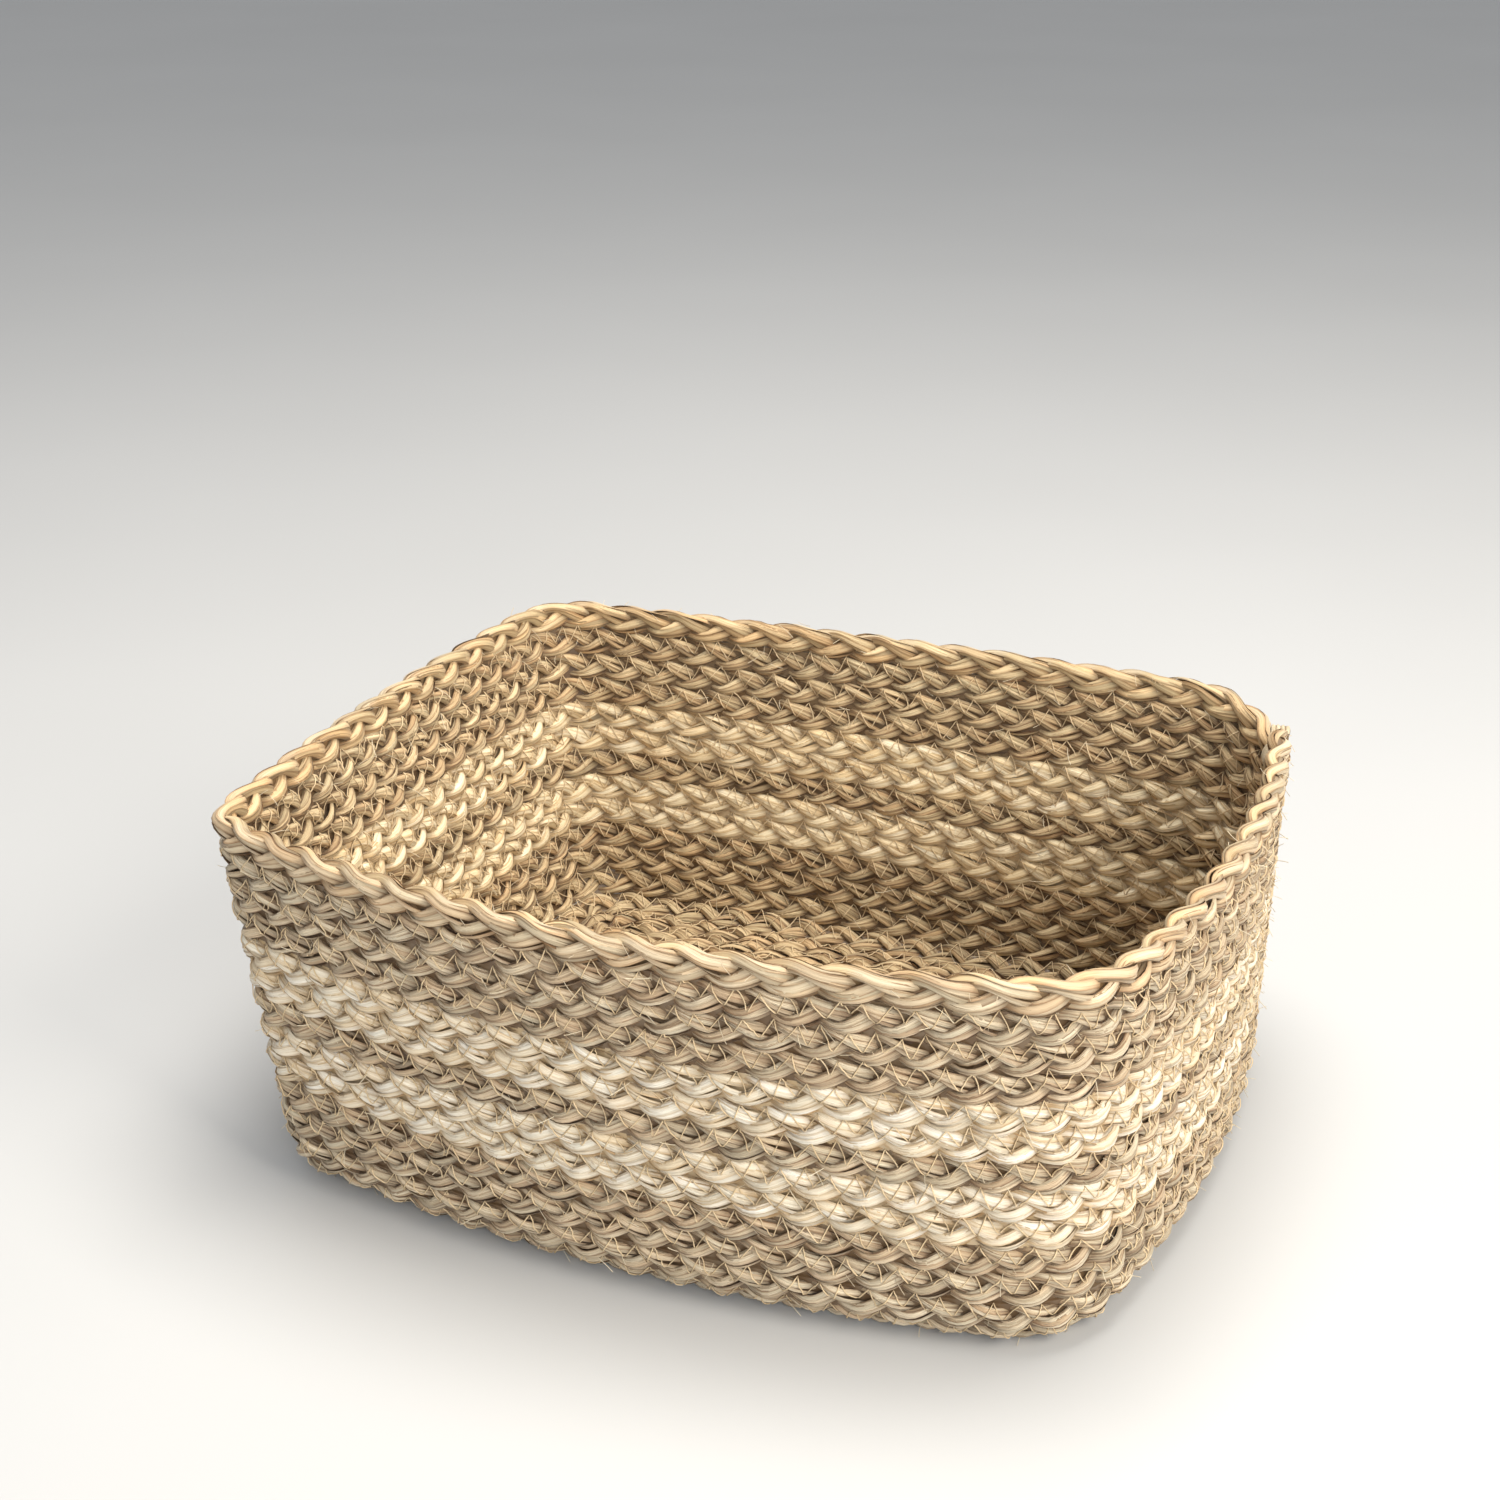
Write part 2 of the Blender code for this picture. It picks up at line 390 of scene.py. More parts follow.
def profile(level):
    """How the sheet's middle runs: (inset from the wall, height, lean from upright)."""
    lean = pi / 4 + (BEND_LEVEL - level) * PITCH / FOOT_BEND
    if lean <= 0:
        return 0.0, BRAID_THICKNESS / 2 + FOOT_BEND * (1 - lean), 0.0
    if lean >= pi / 2:
        return FOOT_BEND * (1 + lean - pi / 2), BRAID_THICKNESS / 2, pi / 2
    height = BRAID_THICKNESS / 2 + FOOT_BEND * (1 - sin(lean))
    return FOOT_BEND * (1 - cos(lean)), height, lean


def sheet(level, place, depth=0.0):
    """A point of the sheet, before it is centred. place runs from 0 to 8 round a turn."""
    inset, height, lean = profile(level)
    arc = min(int(place), ARCS - 1)
    centre, radius, start, end = outline(height / WALL_TOP, BRAID_THICKNESS / 2 + inset)[arc]
    out = facing(start + (end - start) * (place - arc))
    plan = centre + out * (radius + depth * cos(lean))
    return np.array((plan[0], plan[1], height - depth * sin(lean)))


def climbing(turn, place):
    """The level of a turn: it rises from the turn below round the first corner."""
    share = min(place, 1.0)
    return turn - 1 + share * share * (3 - 2 * share)


def turn_lines(turn, seat=0.0, start=0.0, end=float(ARCS)):
    """Three lines along a turn: its middle and half a pitch to each side of it."""
    places = np.linspace(start, end, int((end - start) * STEPS_PER_ARC) + 1)
    lines = [[], [], []]
    for place in places:
        level = climbing(turn, place) + seat
        for line, offset in zip(lines, (0.0, -0.5, 0.5)):
            line.append(sheet(level + offset, place))
    return [np.array(line) for line in lines]


def strip_lines():
    """The same three lines along the starting strip in the base and its fold."""
    inner = INNERMOST_LEVEL - 0.5
    lines = [[], [], []]
    for share in np.linspace(-STRIP_TAIL, 1 - STRIP_REACH, STEPS_PER_ARC):
        back, front = sheet(inner, 2 - share), sheet(inner, 5 + share)
        for line, point in zip(lines, ((back + front) / 2, back, front)):
            line.append(point)
    pivot = sheet(inner, 1 + STRIP_REACH)
    arm = lines[2][-1] - pivot
    for share in np.linspace(0, 1, STEPS_PER_ARC)[1:-1]:
        along, aside = facing(pi * share) * (1 + FOLD_SPREAD * share)
        point = pivot + (arm[0] * along - arm[1] * aside, arm[0] * aside + arm[1] * along, 0)
        for line, spot in zip(lines, ((pivot + point) / 2, pivot, point)):
            line.append(spot)
    return [np.array(line) for line in lines]


def joined(parts):
    """Three-line parts end to end, where each starts at the last one's end."""
    lines = []
    for i in range(3):
        pieces = [part[i][:-1] for part in parts[:-1]] + [parts[-1][i]]
        lines.append(np.concatenate(pieces))
    return lines


def distances(points):
    """How far along its line each point lies."""
    lengths = np.linalg.norm(np.diff(points, axis=0), axis=1)
    return np.concatenate(([0.0], np.cumsum(lengths)))


def line_mesh(name, points, directions, numbers):
    """A line through the points, with directions and numbers at each of them."""
    mesh = bpy.data.meshes.new(name + "_guide")
    edges = [(i, i + 1) for i in range(len(points) - 1)]
    mesh.from_pydata([tuple(p) for p in points], edges, [])
    for label, values in directions.items():
        mesh.attributes.new(label, "FLOAT_VECTOR", "POINT").data.foreach_set("vector", np.ravel(values))
    for label, values in numbers.items():
        mesh.attributes.new(label, "FLOAT", "POINT").data.foreach_set("value", values)
    return mesh


def guide(name, lines, run_start=0.0, tuck=0.0):
    """A line along a braid's middle with its directions and lengths, and the length at its end."""
    middle, inner, outer = lines
    middle = middle - SHEET_CENTRE
    ahead = np.gradient(middle, axis=0)
    ahead /= np.linalg.norm(ahead, axis=1)[:, None]
    across = (outer - inner) / 2
    across -= ahead * np.sum(across * ahead, axis=1)[:, None]
    outward = np.cross(ahead, across)
    outward *= BRAID_THICKNESS / 2 / np.linalg.norm(outward, axis=1)[:, None]
    run = run_start + distances(middle)
    ending = np.zeros(len(run))
    if tuck:
        ending = np.clip(1 - (run[-1] - run) / tuck, 0, 1)
    directions = {"across": across, "outward": outward}
    return line_mesh(name, middle, directions, {"run": run, "tuck": ending}), run[-1]


# ---------------------------------------------------------------- the plait


def leaf_section(nodes, width, thickness):
    """A leaf's section: a low ridge over a flat back. It knows its ridge and its two edges."""
    ring = nodes.triangle(1.0)
    place = nodes.add("GeometryNodeInputPosition")
    parts = nodes.add("ShaderNodeSeparateXYZ", {}, {0: place})
    side = parts.also("Y") / 0.866  # -1 and 1 at the triangle's two lower corners
    ring = nodes.store(ring, "crown", (parts + 0.5) / 1.5)
    ring = nodes.store(ring, "side", side)
    scaled = nodes.point(parts * thickness, side * width)
    return nodes.add("GeometryNodeSetPosition", {}, {"Geometry": ring, "Position": scaled})


def plait_tree():
    """Strands of flat leaves that pass over and under each other along a guide."""
    nodes = GeometryTree(
        "plait",
        Step="float",
        Leaves="whole",
        Length="float",
        Width="float",
        Strand="float",
        Narrow="float",
        Fold="float",
        Weave="float",
        Pinch="float",
        Core="float",
        Open="float",
        Crumple="float",
        Seed="whole",
        Finish="material",
    )
    seed = nodes.given("Seed")
    leaves = nodes.given("Leaves")
    line = nodes.add("GeometryNodeMeshToCurve", {}, {"Mesh": nodes.given("Geometry")})
    inputs = {"Curve": line, "Length": nodes.given("Step")}
    line = nodes.add("GeometryNodeResampleCurve", {"mode": "LENGTH"}, inputs)
    inputs = {"Geometry": line, "Amount": leaves * STRANDS}
    strips = nodes.add("GeometryNodeDuplicateElements", {"domain": "SPLINE"}, inputs)
    number = strips.also("Duplicate Index")

    run = nodes.attribute("run")
    tuck = nodes.attribute("tuck")
    across = nodes.attribute("across", "FLOAT_VECTOR")
    outward = nodes.attribute("outward", "FLOAT_VECTOR")
    strand = nodes.maths("FLOOR", number / leaves)
    leaf = number - strand * leaves

    # Where the strand lies in the plait.
    slow = nodes.noise(nodes.point(run, seed * 3.1), 0.09)
    phase = run * (2 * pi) / nodes.given("Length") + strand * (2 * pi / STRANDS) + slow * 0.5
    wave = nodes.sine(phase)
    swing = nodes.maths("ARCSINE", wave * SHARPNESS) / asin(SHARPNESS)
    weave = nodes.sine(phase * 2.0)
    at_edge = wave * wave
    uneven = nodes.noise(nodes.point(run, strand * 5.3, seed * 1.7), 0.035)
    fullest, narrow = nodes.given("Strand"), nodes.given("Narrow")
    half_wide = (fullest - at_edge * narrow) * (uneven * 0.12 + 1.0)
    half_thick = STRAND_DEPTH + at_edge * nodes.given("Fold")

    # Where the leaf lies in the strand.
    wander = nodes.noise(nodes.point(run, number * 2.3, seed * 0.9), 0.045)
    turn = leaf * (2 * pi) / leaves + strand * 1.1 + run * (2 * pi / 0.32)
    turn = turn + nodes.chance(-0.35, 0.35, number, seed) + wander * 0.45
    ripple = nodes.noise(nodes.point(run, number * 7.9, seed * 2.9), 0.016)
    lift = 1.0 + ripple * nodes.given("Crumple") + nodes.chance(-0.16, 0.12, number, seed + 5)
    wide = nodes.cosine(turn)
    thick = nodes.sine(turn)
    flatter = thick * (1.5 - thick * thick * 0.5)
    shrink = nodes.maths("SQRT", 1.0 - tuck * tuck * 0.85)
    w = swing * (STRAND_REACH - fullest + narrow) + half_wide * wide * lift
    n = half_thick * flatter * lift - weave * nodes.given("Weave")
    squeeze = 1.0 - nodes.given("Pinch") * nodes.maths("SMOOTH_MAX", w, 0.0, 0.4)
    n = n * squeeze * shrink
    w = w * shrink

    place = nodes.add("GeometryNodeInputPosition") + across * w + outward * n
    leaves_in_place = nodes.add("GeometryNodeSetPosition", {}, {"Geometry": strips, "Position": place})

    # Each leaf lies flat on its strand.
    half_w, half_t = PITCH / 2, BRAID_THICKNESS / 2
    normal = across * (wide / half_wide / half_w**2) + outward * (thick / half_thick / half_t**2)
    ahead = nodes.add("GeometryNodeInputTangent")
    slip = nodes.vectors("DOT_PRODUCT", normal, ahead, outlet="Value")
    normal = nodes.vectors("NORMALIZE", normal - ahead * slip)
    strips = nodes.facing_out(leaves_in_place, normal)
    taper = nodes.noise(nodes.point(run, number * 4.1, seed * 1.3), 0.06)
    size = nodes.chance(0.7, 1.12, number, seed + 9) * (1.0 + taper * 0.22)
    strips = nodes.add("GeometryNodeSetCurveRadius", {}, {"Curve": strips, "Radius": size})
    strips = nodes.store(strips, "tone", nodes.chance(0.0, 1.0, number, seed + 1))
    strips = nodes.store(strips, "tint", nodes.chance(0.0, 1.0, number, seed + 2))
    # Marks the leaves towards the basket's inner face, where a painted warm bounce of light goes.
    strips = nodes.store(strips, "inside", 0.5 - n * 1.5)
    # Painted shade in the plait's recesses: it grows where a leaf lies deep between the two faces, and
    # it fades towards the rim's open upper edge.
    bare = 1.0 - nodes.given("Open") * nodes.maths("MAXIMUM", w, 0.0)
    deep = nodes.maths("MAXIMUM", 1.0 - nodes.maths("ABSOLUTE", n) / 0.6, 0.0) * bare
    strips = nodes.store(strips, "deep", deep)

    section = leaf_section(nodes, nodes.given("Width"), LEAF_THICKNESS)
    mesh = nodes.smooth(nodes.swept(strips, section))
    rims = nodes.maths("LESS_THAN", nodes.attribute("crown"), 0.25)
    inputs = {"Geometry": mesh, "Selection": rims, "Shade Smooth": False}
    mesh = nodes.add("GeometryNodeSetShadeSmooth", {"domain": "EDGE"}, inputs)

    # A thin core closes the plait from seam to seam; it is coloured darkest as painted shade in the
    # gaps between the strands.
    core = nodes.facing_out(line, nodes.vectors("NORMALIZE", outward))
    # Painted shade: the lowest tone makes the core as dark as the shade behind the strands.
    core = nodes.store(core, "tone", -2.0)
    sides = {"Width": CORE_THICKNESS, "Height": nodes.given("Core") * PITCH}
    bar = nodes.add("GeometryNodeCurvePrimitiveQuadrilateral", {"mode": "RECTANGLE"}, sides)
    core = nodes.smooth(nodes.swept(core, bar), False)
    mesh = nodes.add("GeometryNodeJoinGeometry", {}, {"Geometry": [mesh, core]})
    return nodes.finish(mesh)


# ---------------------------------------------------------------- the sewing


def stitch_tree():
    """A zigzag thread that hugs the braid under its seam line."""
    nodes = GeometryTree(
        "zigzag", Below="object", Above="object", Face="float", Seed="whole", Finish="material"
    )
    seed = nodes.given("Seed")
    face = nodes.given("Face")
    line = nodes.add("GeometryNodeMeshToCurve", {}, {"Mesh": nodes.given("Geometry")})
    inputs = {"Curve": line, "Length": STITCH_LENGTH}
    line = nodes.add("GeometryNodeResampleCurve", {"mode": "LENGTH"}, inputs)
    index = nodes.add("GeometryNodeInputIndex")
    across = nodes.attribute("across", "FLOAT_VECTOR")
    outward = nodes.attribute("outward", "FLOAT_VECTOR") * face
    parity = nodes.maths("MODULO", index, 2.0) * 2.0 - 1.0
    reach = parity * 2.0 * STITCH_REACH + nodes.chance(-0.2, 0.2, index, seed)
    drift = nodes.chance(-1.0, 1.0, index, seed + 3) * (1.1 * MM)
    ahead = nodes.add("GeometryNodeInputTangent")
    place = nodes.add("GeometryNodeInputPosition") + across * (reach - 2 * STITCH_DROP) + ahead * drift
    line = nodes.add("GeometryNodeSetPosition", {}, {"Geometry": line, "Position": place})
    line = nodes.add("GeometryNodeSubdivideCurve", {}, {"Curve": line, "Cuts": STITCH_CUTS})
    index = nodes.add("GeometryNodeInputIndex")
    at_hole = nodes.maths("LESS_THAN", nodes.maths("MODULO", index, STITCH_CUTS + 1.0), 0.5)

    # A feeler comes in from outside and finds the leaves that the thread lies on.
    targets = []
    for name in ("Below", "Above"):
        inputs = {"Object": nodes.given(name)}
        targets.append(nodes.add("GeometryNodeObjectInfo", {}, inputs, "Geometry"))
    braid = nodes.add("GeometryNodeJoinGeometry", {}, {"Geometry": targets})
    out = nodes.vectors("NORMALIZE", outward)
    start = nodes.add("GeometryNodeInputPosition") + out * FEELER
    inputs = {
        "Target Geometry": braid,
        "Source Position": start,
        "Ray Direction": -out,
        "Ray Length": FEELER_LENGTH,
    }
    ray = nodes.add("GeometryNodeRaycast", {"data_type": "FLOAT"}, inputs, "Is Hit")
    inputs = {"Switch": ray, "False": FEELER_MISS, "True": ray.also("Hit Distance")}
    hit = nodes.add("GeometryNodeSwitch", {"input_type": "FLOAT"}, inputs)
    line = nodes.store(line, "height", FEELER - hit)
    height = nodes.attribute("height")
    settings = {"data_type": "FLOAT"}
    eased = nodes.add("GeometryNodeBlurAttribute", settings, {"Value": height, "Iterations": 6})
    lie = nodes.maths("MAXIMUM", height, eased) + THREAD_RADIUS * 1.8
    lie = lie - at_hole * STITCH_HOLE
    place = nodes.add("GeometryNodeInputPosition") + out * lie
    line = nodes.add("GeometryNodeSetPosition", {}, {"Geometry": line, "Position": place})
    line = nodes.add("GeometryNodeSetCurveRadius", {}, {"Curve": line, "Radius": 1.0})
    return nodes.finish(nodes.smooth(nodes.swept(line, nodes.triangle(THREAD_RADIUS))))


# ---------------------------------------------------------------- loose ends


def fibre_tree():
    """Short loose fibres that stand off both faces of the plait."""
    nodes = GeometryTree("loose fibres", Count="whole", Seed="whole", Finish="material")
    seed = nodes.given("Seed")
    line = nodes.add("GeometryNodeMeshToCurve", {}, {"Mesh": nodes.given("Geometry")})
    inputs = {"Curve": line, "Count": nodes.given("Count")}
    points = nodes.add("GeometryNodeCurveToPoints", {"mode": "COUNT"}, inputs, "Points")
    ahead = points.also("Tangent")
    index = nodes.add("GeometryNodeInputIndex")
    across = nodes.attribute("across", "FLOAT_VECTOR")
    outward = nodes.attribute("outward", "FLOAT_VECTOR")
    face = nodes.maths("SIGN", nodes.chance(-1.0, 1.0, index, seed))
    w = nodes.chance(-1.0, 1.0, index, seed + 1)
    place = nodes.add("GeometryNodeInputPosition") + across * w + outward * (face * 0.8)
    points = nodes.add("GeometryNodeSetPosition", {}, {"Geometry": points, "Position": place})
    way = ahead * nodes.chance(-4.0, 4.0, index, seed + 2)
    way = way + across * 1000.0 * nodes.chance(-0.5, 0.5, index, seed + 3)
    way = way + outward * 1000.0 * (face * nodes.chance(0.15, 0.8, index, seed + 4))
    turned = nodes.add("FunctionNodeAlignRotationToVector", {"axis": "Z"}, {"Vector": way})
    ends = {"Start": (0, 0, -2 * MM), "Middle": (0.6 * MM, 0, 2 * MM), "End": (2.2 * MM, 0, 4.5 * MM)}
    bent = nodes.add("GeometryNodeCurveQuadraticBezier", {}, {"Resolution": 4, **ends})
    hair = nodes.swept(bent, nodes.triangle(FIBRE_RADIUS))
    inputs = {
        "Points": points,
        "Instance": hair,
        "Rotation": turned,
        "Scale": nodes.point(1.0, 1.0, 1.0) * nodes.chance(0.5, 1.35, index, seed + 5),
    }
    hairs = nodes.add("GeometryNodeInstanceOnPoints", {}, inputs)
    hairs = nodes.add("GeometryNodeRealizeInstances", {}, {"Geometry": hairs})
    hairs = nodes.store(hairs, "crown", 1.0)
    hairs = nodes.store(hairs, "tone", 1.1)
    return nodes.finish(hairs)


def cord_tree():
    """One flat leaf along each guide line."""
    nodes = GeometryTree("leaf cord", Width="float", Seed="whole", Finish="material")
    line = nodes.add("GeometryNodeMeshToCurve", {}, {"Mesh": nodes.given("Geometry")})
    normal = nodes.vectors("NORMALIZE", nodes.attribute("outward", "FLOAT_VECTOR"))
    line = nodes.facing_out(line, normal)
    line = nodes.store(line, "tone", nodes.chance(0.3, 1.0, 1, nodes.given("Seed")))
    section = leaf_section(nodes, nodes.given("Width"), END_LEAF_THICKNESS)
    return nodes.finish(nodes.smooth(nodes.swept(line, section)))


def rim_axes(place):
    """The rim turn's middle and its three directions at a place, in metres."""
    level = climbing(RIM_LEVEL, place)
    middle = sheet(level, place) - SHEET_CENTRE
    step = 0.01 if place < 4 else -0.01
    ahead = (sheet(climbing(RIM_LEVEL, place + step), place + step) - SHEET_CENTRE - middle) / step
    ahead /= np.linalg.norm(ahead)
    across = (sheet(level + 0.5, place) - sheet(level - 0.5, place)) / 2
    across -= ahead * (across @ ahead)
    outward = np.cross(ahead, across)
    return middle, ahead, across, outward * BRAID_THICKNESS / 2 / np.linalg.norm(outward)


def binding_line():
    """Leaf wound round the start of the rim turn, where it is tied down."""
    points, normals = [], []
    for share in np.linspace(0, 1, 15 * BINDING_TURNS):
        middle, _, across, outward = rim_axes(0.06 + 0.12 * share)
        angle = 2 * pi * BINDING_TURNS * share
        spoke = across * cos(angle) * 0.98 + outward * sin(angle) * 1.08
        points.append(middle + spoke)
        normals.append(spoke)
    return np.array(points), np.array(normals)


def end_loop(n):
    """One leaf folded over the blunt end of the rim, n half thicknesses out from its middle."""
    middle, ahead, across, outward = rim_axes(float(ARCS))
    points, normals = [], []
    for angle in np.radians(np.linspace(-140, 140, 19)):
        spoke = across * sin(angle) * 0.9 + ahead * cos(angle) * (5 - 3 * n * n) * MM
        points.append(middle + spoke + outward * n)
        normals.append(spoke + outward * n)
    return np.array(points), np.array(normals)


# ---------------------------------------------------------------- finishes


def shader_nodes(name, roughness):
    """A new material's nodes and its Principled shader."""
    material = bpy.data.materials.new(name)
    material.use_nodes = True
    nodes = Nodes(material.node_tree)
    shader = material.node_tree.nodes["Principled BSDF"]
    shader.inputs["Roughness"].default_value = roughness
    return material, nodes, shader


def mixed(nodes, factor, first, second, blend="MIX"):
    settings = {"data_type": "RGBA", "blend_type": blend, "clamp_factor": True}
    inputs = {"Factor": factor, "A": (*first, 1.0) if isinstance(first, tuple) else first}
    inputs["B"] = (*second, 1.0) if isinstance(second, tuple) else second
    return nodes.add("ShaderNodeMix", settings, inputs)


def leaf_finish(name, dark, middle, light, warm, cool, stain, edge, bump):
    """Dry leaf: each leaf has its own tone, with streaks along it and darker edges, partly its own and
    partly painted shade; painted shade in creases and recesses, and a painted warm bounce of light on
    the inner face.
    """
    material, nodes, shader = shader_nodes(name, 0.62)
    read = {}
    for label in ("tone", "tint", "crown", "side", "run", "inside", "deep"):
        settings = {"attribute_type": "GEOMETRY", "attribute_name": label}
        read[label] = nodes.add("ShaderNodeAttribute", settings, {}, "Fac")
    spot = nodes.add("ShaderNodeTexCoord", {}, {}, "Object")
    tone, tint, run = read["tone"], read["tint"], read["run"]
    apart = tone * 37.0
    grain_place = nodes.point(run * 30.0, read["side"] * 3.0 + apart, tint * 11.0)
    grain = nodes.noise(grain_place, 1.0, 3.0, 0.6)
    fine = nodes.noise(nodes.point(run * 120.0, read["side"] * 9.0 + apart, 3.0), 1.0, 2.0)
    patch = nodes.noise(spot, 0.045, 2.0)
    length_tone = nodes.noise(nodes.point(run * 14.0, apart, tint * 5.0), 1.0, 1.0)

    shade = tone * 0.55 + 0.24 + length_tone * 0.28 + grain * 0.36 + fine * 0.14 + patch * 0.12
    stops = [(0.0, dark), (0.45, middle), (1.0, light)]
    colour = nodes.add("ShaderNodeValToRGB", {"stops": stops}, {"Fac": shade})
    warmth = nodes.maths("SMOOTH_MIN", (tint - 0.55) * 2.2 + patch * 0.5, 1.0, 0.2)
    colour = mixed(nodes, nodes.maths("MAXIMUM", warmth, 0.0) * 0.55, colour, warm)
    coolness = nodes.maths("MAXIMUM", (0.4 - tint) * 2.0 - patch * 0.4, 0.0)
    colour = mixed(nodes, coolness * 0.5, colour, cool)
    stained = nodes.maths("MAXIMUM", grain * 1.3 + length_tone * 0.9 - 0.75, 0.0)
    colour = mixed(nodes, stained * 1.4, colour, stain)
    # Painted shade: leaves darken towards their edges and along thin creases in the grain. The darker
    # edges are partly the leaf's own colour and partly painted shade between the leaves.
    crease_shade = nodes.maths("MAXIMUM", 1.0 - nodes.maths("ABSOLUTE", grain - 0.1) * 7.0, 0.0)
    edge_and_crease_shade = (1.0 - read["crown"]) ** 2.5 * 0.85 + crease_shade * 0.45
    colour = mixed(nodes, edge_and_crease_shade, colour, edge, "MULTIPLY")
    # Painted shade in the recesses of the plait, in the edge and shade colour.
    colour = mixed(nodes, read["deep"] * 0.75, colour, edge, "MULTIPLY")
    # Painted warm bounce light on the leaves of the inner face.
    colour = mixed(nodes, read["inside"], colour, (1.04, 0.98, 0.83), "MULTIPLY")
    nodes.join(shader.inputs["Base Color"], colour)
    rough = 0.58 + grain * 0.1 + tone * 0.1
    nodes.join(shader.inputs["Roughness"], rough)
    height = nodes.sine(read["side"] * 9.0 + grain * 2.0) * 0.35 + fine * 0.8 + grain * 0.5
    inputs = {"Strength": bump, "Distance": 0.25 * MM, "Height": height}
    nodes.join(shader.inputs["Normal"], nodes.add("ShaderNodeBump", {}, inputs))
    shader.inputs["Sheen Weight"].default_value = 0.08
    return material


def thread_finish():
    """Tan twisted sewing thread."""
    material, nodes, shader = shader_nodes("tan sewing thread", 0.7)
    spot = nodes.add("ShaderNodeTexCoord", {}, {}, "Object")
    blotch = nodes.noise(spot, 0.02, 2.0) * 0.5 + 0.5
    colour = mixed(nodes, blotch, (0.52, 0.37, 0.20), (0.72, 0.57, 0.36))
    nodes.join(shader.inputs["Base Color"], colour)
    twist = nodes.noise(spot, 0.0006, 1.0)
    inputs = {"Strength": 0.5, "Distance": 0.1 * MM, "Height": twist}
    nodes.join(shader.inputs["Normal"], nodes.add("ShaderNodeBump", {}, inputs))
    return material


def floor_finish():
    """A plain pale floor with the faintest mottle."""
    material, nodes, shader = shader_nodes("pale floor", 0.6)
    spot = nodes.add("ShaderNodeTexCoord", {}, {}, "Object")
    cloud = nodes.noise(spot, 0.4, 2.0) * 0.5 + 0.5
    colour = mixed(nodes, cloud, (0.46, 0.46, 0.455), (0.50, 0.50, 0.495))
    nodes.join(shader.inputs["Base Color"], colour)
    return material


# ---------------------------------------------------------------- the set


def make_camera():
    camera = bpy.data.objects.new("camera", bpy.data.cameras.new("camera"))
    bpy.context.scene.collection.objects.link(camera)
    azimuth, height = radians(CAMERA_AZIMUTH), radians(CAMERA_HEIGHT_ANGLE)
    back = Vector((sin(azimuth) * cos(height), -cos(azimuth) * cos(height), sin(height)))
    camera.location = Vector(CAMERA_AIM) + back * CAMERA_DISTANCE
    camera.rotation_euler = back.to_track_quat("Z", "Y").to_euler()
    camera.data.lens = CAMERA_LENS
    camera.data.sensor_width = 36.0
    camera.data.clip_start = 0.01
    bpy.context.scene.camera = camera


def soft_light(name, place, aim, size, power, colour=(1.0, 1.0, 1.0)):
    lamp = bpy.data.objects.new(name, bpy.data.lights.new(name, "AREA"))
    bpy.context.scene.collection.objects.link(lamp)
    lamp.data.shape = "SQUARE"
    lamp.data.size = size
    lamp.data.energy = power
    lamp.data.color = colour
    lamp.location = place
    lamp.rotation_euler = (Vector(place) - Vector(aim)).to_track_quat("Z", "Y").to_euler()


def make_set():
    make_camera()
    middle = (0.0, 0.0, 0.08)
    soft_light("window", (1.6, -0.5, 1.3), middle, 1.0, 33.0, (1.0, 0.94, 0.84))
    soft_light("fill", (1.2, -1.8, 0.9), middle, 1.4, 36.0, (0.96, 0.98, 1.0))
    soft_light("top", (0.1, 0.2, 1.7), middle, 1.0, 33.0, (1.0, 0.96, 0.9))
    world = bpy.data.worlds.new("studio")
    bpy.context.scene.world = world
    world.use_nodes = True
    background = world.node_tree.nodes["Background"]
    background.inputs["Color"].default_value = (0.95, 0.97, 1.0, 1.0)
    background.inputs["Strength"].default_value = 0.55
    bpy.context.scene.view_settings.view_transform = "Standard"

    mesh = bpy.data.meshes.new("floor")
    reach = 12.0
    corners = [(-reach, -reach, 0), (reach, -reach, 0), (reach, reach, 0), (-reach, reach, 0)]
    mesh.from_pydata(corners, [], [(0, 1, 2, 3)])
    floor = bpy.data.objects.new("floor", mesh)
    bpy.context.scene.collection.objects.link(floor)
    mesh.materials.append(floor_finish())


# ---------------------------------------------------------------- the basket


def sheet_centre():
    """What the sheet is shifted by, so that its rim sits where the frame's rim is."""
    low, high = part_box("rim_braid")
    lines = [sheet(RIM_LEVEL, place, BRAID_THICKNESS / 2) for place in np.linspace(0, ARCS, 161)]
    middle = (np.min(lines, axis=0) + np.max(lines, axis=0)) / 2
    return np.array((middle[0] - (low.x + high.x) / 2, middle[1] - (low.y + high.y) / 2, 0.0))


def place_piece(piece, slot, *nodes):
    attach(piece, "root")
    if nodes:
        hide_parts(*nodes)


def natural_finish():
    return leaf_finish(
        "natural seagrass",
        dark=(0.25, 0.18, 0.115),
        middle=(0.63, 0.50, 0.325),
        light=(0.89, 0.765, 0.555),
        warm=(0.58, 0.38, 0.21),
        cool=(0.43, 0.385, 0.27),
        stain=(0.20, 0.13, 0.10),
        edge=(0.34, 0.24, 0.16),
        bump=1.0,
    )


# The rim's straw: a copy of the natural leaf with lighter darks, lighter edges and a warmer tint,
# painted lighter for the light that falls on the rim's top.
def rim_finish():
    return leaf_finish(
        "bright rim straw",
        dark=(0.30, 0.21, 0.12),
        middle=(0.58, 0.46, 0.30),
        light=(0.82, 0.70, 0.50),
        warm=(0.68, 0.47, 0.26),
        cool=(0.52, 0.46, 0.31),
        stain=(0.24, 0.15, 0.09),
        edge=(0.42, 0.31, 0.21),
        bump=0.6,
    )


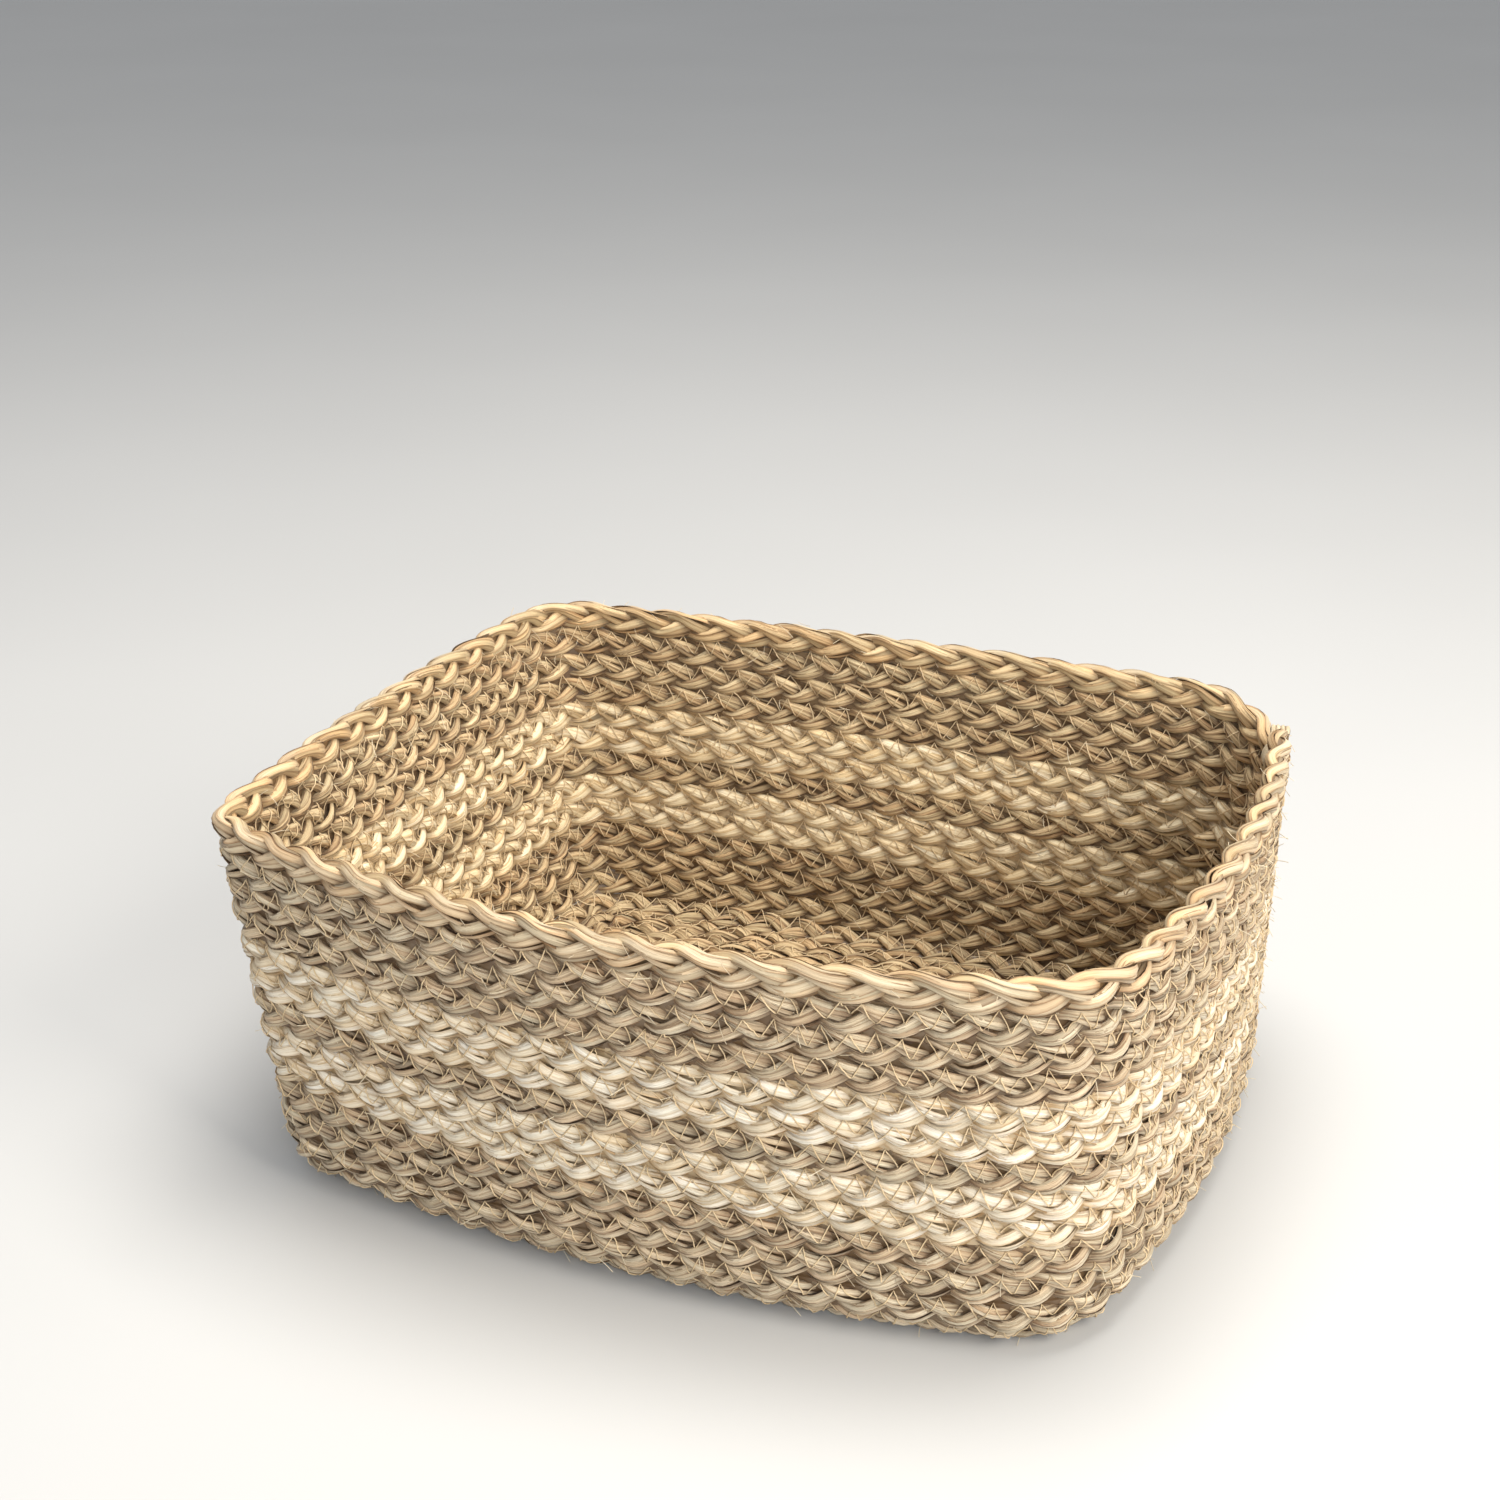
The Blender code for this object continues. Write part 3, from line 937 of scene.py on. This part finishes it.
def pale_finish():
    return leaf_finish(
        "pale bleached leaf",
        dark=(0.56, 0.465, 0.32),
        middle=(0.79, 0.705, 0.55),
        light=(0.88, 0.845, 0.77),
        warm=(0.78, 0.60, 0.36),
        cool=(0.76, 0.72, 0.60),
        stain=(0.50, 0.37, 0.22),
        edge=(0.62, 0.50, 0.36),
        bump=0.9,
    )


def turn_name(turn):
    return {0: "foot_braid", RIM_LEVEL: "rim_braid"}.get(turn, f"wall_braid_{turn:02d}")


def base_braids(plait, finish):
    """The flat spiral under the basket in two pieces, and the braid's length at its end."""
    parts = [strip_lines(), turn_lines(INNERMOST_LEVEL, start=1 + STRIP_REACH)]
    parts += [turn_lines(turn) for turn in range(INNERMOST_LEVEL + 1, 0)]
    run = 0.0
    pieces = []
    for label, seed, half in (("inner", 200, parts[:BASE_SPLIT]), ("outer", 201, parts[BASE_SPLIT:])):
        name = "base_coil_" + label
        mesh, run = guide(name, joined(half), run)
        pieces.append(grown(name, mesh, plait, Seed=seed, Finish=finish, **BASE_PLAIT))
    return pieces, run


def wall_braids(plait, natural, top_lit, pale, run):
    """The turns from the foot to the rim."""
    braids = []
    for turn in range(RIM_LEVEL + 1):
        tuck, finish, sizes = 0.0, natural, NATURAL_PLAIT
        if turn in PALE_LEVELS:
            finish, sizes = pale, PALE_PLAIT
        if turn == RIM_LEVEL:
            tuck, finish, sizes = RIM_TUCK, top_lit, RIM_PLAIT
        mesh, run = guide(turn_name(turn), turn_lines(turn), run, tuck)
        name = turn_name(turn) + "_leaf"
        braids.append(grown(name, mesh, plait, Seed=10 + turn * 17, Finish=finish, **sizes))
    return braids


def add_loose_ends(natural, top_lit):
    """Fibres that stand off the wall, and the leaves that bind the rim's start and end."""
    lines = joined([turn_lines(turn) for turn in range(RIM_LEVEL + 1)])
    mesh, _ = guide("fibres", lines)
    fibres = grown("loose_fibres", mesh, fibre_tree(), Count=FIBRES, Seed=4, Finish=natural)
    place_piece(fibres, "natural_braid")
    cord = cord_tree()
    ends = [binding_line()] + [end_loop(n) for n in END_LOOPS]
    for number, (points, normals) in enumerate(ends):
        mesh = line_mesh("end", points, {"outward": normals}, {"run": distances(points)})
        name = f"rim_end_leaf_{number}"
        piece = grown(name, mesh, cord, Width=END_LEAF_WIDTH, Seed=number, Finish=top_lit)
        place_piece(piece, "natural_braid")


def add_threads(base, braids):
    """The zigzags on both faces: the needle's outside and under the base, the bobbin's inside."""
    thread = thread_finish()
    zigzag = stitch_tree()
    below = [base[1]] + braids
    for turn in range(RIM_LEVEL + 1):
        for face, label in ((1, "needle"), (-1, "bobbin")):
            mesh, _ = guide("seam", turn_lines(turn - 1, seat=0.5))
            ends = {"Below": below[turn], "Above": braids[turn], "Face": float(face)}
            name = f"zigzag_{turn:02d}_{label}"
            piece = grown(name, mesh, zigzag, Seed=turn * 5 + face, Finish=thread, **ends)
            place_piece(piece, "thread", f"seam_{turn:02d}_{label}_thread")
    for face, label in ((1, "needle"), (-1, "bobbin")):
        lines = [turn_lines(INNERMOST_LEVEL - 1, seat=0.5, start=5.0)]
        lines += [turn_lines(turn, seat=0.5) for turn in range(INNERMOST_LEVEL, -1)]
        mesh, _ = guide("seam", joined(lines))
        ends = {"Below": base[0], "Above": base[1], "Face": float(face)}
        piece = grown(f"zigzag_base_{label}", mesh, zigzag, Seed=90 + face, Finish=thread, **ends)
        place_piece(piece, "thread", f"base_{label}_thread")


def make_basket():
    natural, top_lit, pale = natural_finish(), rim_finish(), pale_finish()
    plait = plait_tree()
    base, run = base_braids(plait, natural)
    braids = wall_braids(plait, natural, top_lit, pale, run)
    add_loose_ends(natural, top_lit)
    add_threads(base, braids)
    place_piece(base[0], "natural_braid", "base_coil_braid")
    place_piece(base[1], "natural_braid")
    for turn, braid in enumerate(braids):
        slot = "pale_braid" if turn in PALE_LEVELS else "natural_braid"
        place_piece(braid, slot, turn_name(turn))


make_set()
SHEET_CENTRE = sheet_centre()
make_basket()
